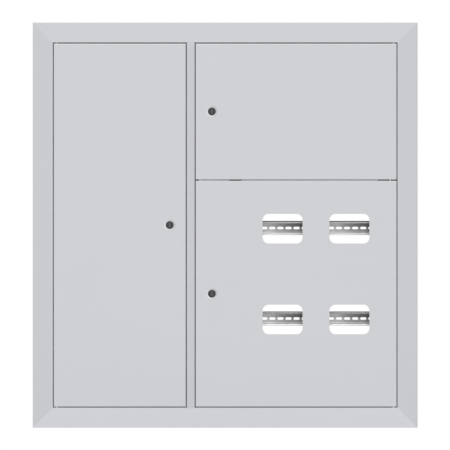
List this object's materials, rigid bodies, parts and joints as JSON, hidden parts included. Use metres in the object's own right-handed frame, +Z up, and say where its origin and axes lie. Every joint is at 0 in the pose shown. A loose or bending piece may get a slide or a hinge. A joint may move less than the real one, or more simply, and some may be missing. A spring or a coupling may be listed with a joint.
{
  "type": "electric meter box",
  "caption": "Flush sheet steel meter board for a wall niche, with a mitred rim, hinged locking doors, reading windows and slotted rails inside",
  "frame": {"origin": "on the plane of the wall that the rim rests on, at the middle of the rim's lower edge", "axes": "+X to the right seen from the front, +Y into the wall, +Z up"},
  "size_m": [0.95, 0.1518, 1],
  "materials": {
    "rim_paint": "powder coat",
    "door_paint": "powder coat",
    "box_paint": "powder coat",
    "zinc_sheet": "zinc plated",
    "zinc_fastener": "zinc plated",
    "brass": "drawn",
    "insulator": "moulded",
    "foam": "closed cell foam",
    "lock_metal": "dark coated",
    "lock_zinc": "zinc plated"
  },
  "bodies": {
    "cabinet": {"rim_left": "rim_paint", "rim_right": "rim_paint", "rim_top": "rim_paint", "rim_bottom": "rim_paint", "centre_stile": "rim_paint", "middle_rail": "rim_paint", "middle_lug": "rim_paint", "left_box_wall": "box_paint", "right_box_wall": "box_paint", "bottom_box_wall": "box_paint", "top_box_wall": "box_paint", "middle_partition": "box_paint", "meter_shelf": "box_paint", "left_meter_upright": "zinc_sheet", "middle_meter_upright": "zinc_sheet", "right_meter_upright": "zinc_sheet", "left_breaker_upright": "zinc_sheet", "right_breaker_upright": "zinc_sheet", "lower_left_meter_rail": "zinc_sheet", "lower_right_meter_rail": "zinc_sheet", "upper_left_meter_rail": "zinc_sheet", "upper_right_meter_rail": "zinc_sheet", "breaker_rail": "zinc_sheet", "lower_mounting_strip": "zinc_sheet", "upper_mounting_strip": "zinc_sheet", "hinge_pins": "zinc_fastener", "hinge_washers": "zinc_fastener", "frame_screws": "zinc_fastener", "rail_screws": "zinc_fastener", "terminal_screws": "zinc_fastener", "earth_studs": "zinc_fastener", "earth_stud_nuts": "zinc_fastener", "neutral_bar": "brass", "earth_bar": "brass", "neutral_insulators": "insulator", "left_door_seal": "foam", "upper_door_seal": "foam", "lower_door_seal": "foam"},
    "left_door": {"left_door_panel": "door_paint", "left_door_stiffener": "box_paint", "left_lock_body": "lock_metal", "left_lock_nut": "lock_zinc"},
    "left_lock": {"left_lock_plug": "lock_metal", "left_lock_cam": "lock_zinc", "left_cam_screw": "zinc_fastener"},
    "upper_door": {"upper_door_panel": "door_paint", "upper_door_stiffener": "box_paint", "upper_lock_body": "lock_metal", "upper_lock_nut": "lock_zinc"},
    "upper_lock": {"upper_lock_plug": "lock_metal", "upper_lock_cam": "lock_zinc", "upper_cam_screw": "zinc_fastener"},
    "lower_door": {"lower_door_panel": "door_paint", "lower_door_stiffener": "box_paint", "lower_lock_body": "lock_metal", "lower_lock_nut": "lock_zinc"},
    "lower_lock": {"lower_lock_plug": "lock_metal", "lower_lock_cam": "lock_zinc", "lower_cam_screw": "zinc_fastener"}
  },
  "joints": [
    {"name": "left_door_hinge", "type": "hinge", "parent": "cabinet", "child": "left_door", "pos_m": [-0.4155, -0.006, 0.5], "axis": [0, 0, -1], "range_deg": [0, 105]},
    {"name": "upper_door_hinge", "type": "hinge", "parent": "cabinet", "child": "upper_door", "pos_m": [0.4155, -0.006, 0.7803], "axis": [0, 0, 1], "range_deg": [0, 105]},
    {"name": "lower_door_hinge", "type": "hinge", "parent": "cabinet", "child": "lower_door", "pos_m": [0.4155, -0.006, 0.3307], "axis": [0, 0, 1], "range_deg": [0, 105]},
    {"name": "left_lock_turn", "type": "hinge", "parent": "left_door", "child": "left_lock", "pos_m": [-0.137, 0, 0.5], "axis": [0, -1, 0], "range_deg": [0, 90]},
    {"name": "upper_lock_turn", "type": "hinge", "parent": "upper_door", "child": "upper_lock", "pos_m": [-0.033, 0, 0.7803], "axis": [0, 1, 0], "range_deg": [0, 90]},
    {"name": "lower_lock_turn", "type": "hinge", "parent": "lower_door", "child": "lower_lock", "pos_m": [-0.033, 0, 0.3307], "axis": [0, 1, 0], "range_deg": [0, 90]}
  ]
}
